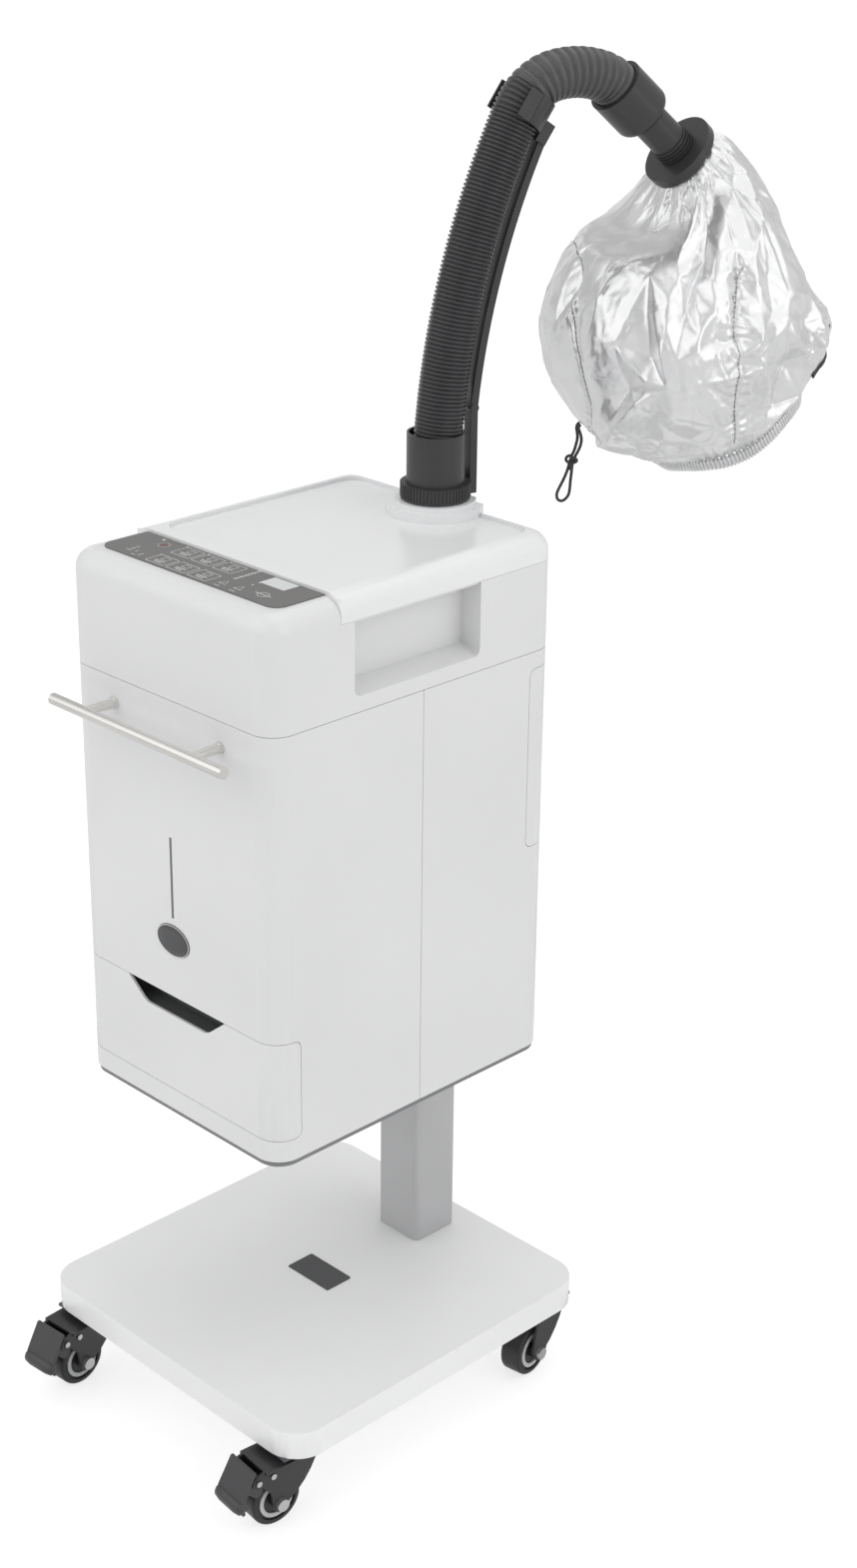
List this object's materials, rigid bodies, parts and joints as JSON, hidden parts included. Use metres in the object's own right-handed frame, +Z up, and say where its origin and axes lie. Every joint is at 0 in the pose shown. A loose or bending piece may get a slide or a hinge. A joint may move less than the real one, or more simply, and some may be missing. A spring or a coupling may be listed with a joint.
{
  "type": "hair steamer",
  "caption": "Free-standing hair steamer: boiler cabinet with control panel, drawer and rear water tank on a wheeled base, and a swivelling ribbed hose that carries a soft steam hood.",
  "frame": {"origin": "on the floor, under the centre of the whole object's outer box", "axes": "+Z up; -Y the cabinet's front, where the handle and the drawer are; +X the user's right when facing the front"},
  "size_m": [0.448, 0.8806, 1.4319],
  "materials": {
    "white_gloss": "glossy",
    "white_board": "painted glossy",
    "grey_metal": "satin",
    "steel": "brushed",
    "zinc": "satin",
    "dark_plastic": "matte",
    "dark_hose": "matte",
    "dark_metal": "satin",
    "wheel_tread": "matte",
    "panel_film": "satin",
    "window": "satin",
    "pale_plastic": "matte",
    "tank_plastic": "clear",
    "board_green": "matte",
    "boiler_metal": "satin",
    "duct_plastic": "matte",
    "hood_fabric": "metallised",
    "hem_fabric": "metallised",
    "cord": "matte"
  },
  "bodies": {
    "cabinet": {"base_board": "white_board", "column_foot": "grey_metal", "column": "grey_metal", "column_head": "grey_metal", "frame_screws": "zinc", "caster_plates": "dark_metal", "bottom_pan": "grey_metal", "chassis_plate": "dark_metal", "front_shell": "white_gloss", "rear_shell": "white_gloss", "upper_housing": "white_gloss", "top_cover": "white_gloss", "handle_bar": "steel", "handle_posts": "steel", "badge": "panel_film", "light_strip": "panel_film", "membrane_panel": "panel_film", "display_window": "window", "control_board": "board_green", "hose_socket": "dark_plastic", "boiler": "boiler_metal", "heater_element": "boiler_metal", "steam_duct": "duct_plastic", "water_pump": "dark_plastic", "power_inlet": "dark_plastic", "drawer_runners": "zinc", "tank_shelf": "dark_metal", "label_plate": "panel_film"},
    "lock_ring": {"lock_ring": "dark_plastic"},
    "arm": {"lower_cuff": "dark_plastic", "lower_hose": "dark_hose", "support_arm": "dark_plastic", "upper_hose": "dark_hose"},
    "head": {"upper_cuff": "dark_plastic"},
    "hood": {"hood_flange": "dark_plastic", "hood": "hood_fabric", "hood_hem": "hem_fabric", "drawcord": "cord", "cord_knot": "cord"},
    "drawer": {"drawer_front": "white_gloss", "drawer_box": "pale_plastic", "drawer_grip": "dark_plastic"},
    "tank": {"water_tank": "tank_plastic", "tank_door": "white_gloss"},
    "switch": {"power_switch": "dark_plastic"},
    "caster_front_left": {"fork_front_left": "dark_metal", "axle_front_left": "zinc"},
    "wheel_front_left": {"wheel_front_left": "wheel_tread"},
    "brake_left": {"brake_pedal_left": "dark_metal"},
    "caster_front_right": {"fork_front_right": "dark_metal", "axle_front_right": "zinc"},
    "wheel_front_right": {"wheel_front_right": "wheel_tread"},
    "brake_right": {"brake_pedal_right": "dark_metal"},
    "caster_rear_left": {"fork_rear_left": "dark_metal", "axle_rear_left": "zinc"},
    "wheel_rear_left": {"wheel_rear_left": "wheel_tread"},
    "caster_rear_right": {"fork_rear_right": "dark_metal", "axle_rear_right": "zinc"},
    "wheel_rear_right": {"wheel_rear_right": "wheel_tread"}
  },
  "joints": [
    {"name": "arm_swivel", "type": "hinge", "parent": "cabinet", "child": "arm", "pos_m": [-0.00599, -0.00455, 1.03], "axis": [0, 0, 1], "range_deg": [-60, 75]},
    {"name": "ring_turn", "type": "hinge", "parent": "cabinet", "child": "lock_ring", "pos_m": [-0.00599, -0.00455, 1.0035], "axis": [0, 0, 1], "range_deg": [0, 60]},
    {"name": "hood_tilt", "type": "hinge", "parent": "arm", "child": "head", "pos_m": [0.03255, 0.13928, 1.40878], "axis": [0.9659, -0.2588, 0], "range_deg": [-8, 15], "deforming": ["upper_hose"]},
    {"name": "hood_turn", "type": "hinge", "parent": "head", "child": "hood", "pos_m": [0.06577, 0.26327, 1.32745], "axis": [0.1953, 0.729, -0.6561], "range_deg": [-30, 30]},
    {"name": "drawer_slide", "type": "slide", "parent": "cabinet", "child": "drawer", "axis": [0, -1, 0], "range_m": [0, 0.15]},
    {"name": "tank_slide", "type": "slide", "parent": "cabinet", "child": "tank", "axis": [0, 1, 0], "range_m": [0, 0.12]},
    {"name": "switch_rock", "type": "hinge", "parent": "cabinet", "child": "switch", "pos_m": [0.07901, 0.02445, 0.4775], "axis": [1, 0, 0], "range_deg": [0, 14]},
    {"name": "swivel_front_left", "type": "hinge", "parent": "cabinet", "child": "caster_front_left", "pos_m": [-0.18399, -0.35855, 0.07], "axis": [0, 0, 1], "continuous": true},
    {"name": "roll_front_left", "type": "hinge", "parent": "caster_front_left", "child": "wheel_front_left", "pos_m": [-0.18217, -0.38448, 0.03], "axis": [0.9976, 0.0698, 0], "continuous": true},
    {"name": "brake_left", "type": "hinge", "parent": "caster_front_left", "child": "brake_left", "pos_m": [-0.18022, -0.41242, 0.069], "axis": [0.9976, 0.0698, 0], "range_deg": [-14, 0]},
    {"name": "swivel_front_right", "type": "hinge", "parent": "cabinet", "child": "caster_front_right", "pos_m": [0.15201, -0.35855, 0.07], "axis": [0, 0, 1], "continuous": true},
    {"name": "roll_front_right", "type": "hinge", "parent": "caster_front_right", "child": "wheel_front_right", "pos_m": [0.14929, -0.38441, 0.03], "axis": [0.9945, -0.1045, 0], "continuous": true},
    {"name": "brake_right", "type": "hinge", "parent": "caster_front_right", "child": "brake_right", "pos_m": [0.14637, -0.41225, 0.069], "axis": [0.9945, -0.1045, 0], "range_deg": [-14, 0]},
    {"name": "swivel_rear_left", "type": "hinge", "parent": "cabinet", "child": "caster_rear_left", "pos_m": [-0.18399, 0.01945, 0.07], "axis": [0, 0, 1], "continuous": true},
    {"name": "roll_rear_left", "type": "hinge", "parent": "caster_rear_left", "child": "wheel_rear_left", "pos_m": [-0.18716, -0.00635, 0.03], "axis": [0.9925, -0.1219, 0], "continuous": true},
    {"name": "swivel_rear_right", "type": "hinge", "parent": "cabinet", "child": "caster_rear_right", "pos_m": [0.15201, 0.01945, 0.07], "axis": [0, 0, 1], "continuous": true},
    {"name": "roll_rear_right", "type": "hinge", "parent": "caster_rear_right", "child": "wheel_rear_right", "pos_m": [0.15563, -0.00629, 0.03], "axis": [0.9903, 0.1392, 0], "continuous": true}
  ]
}
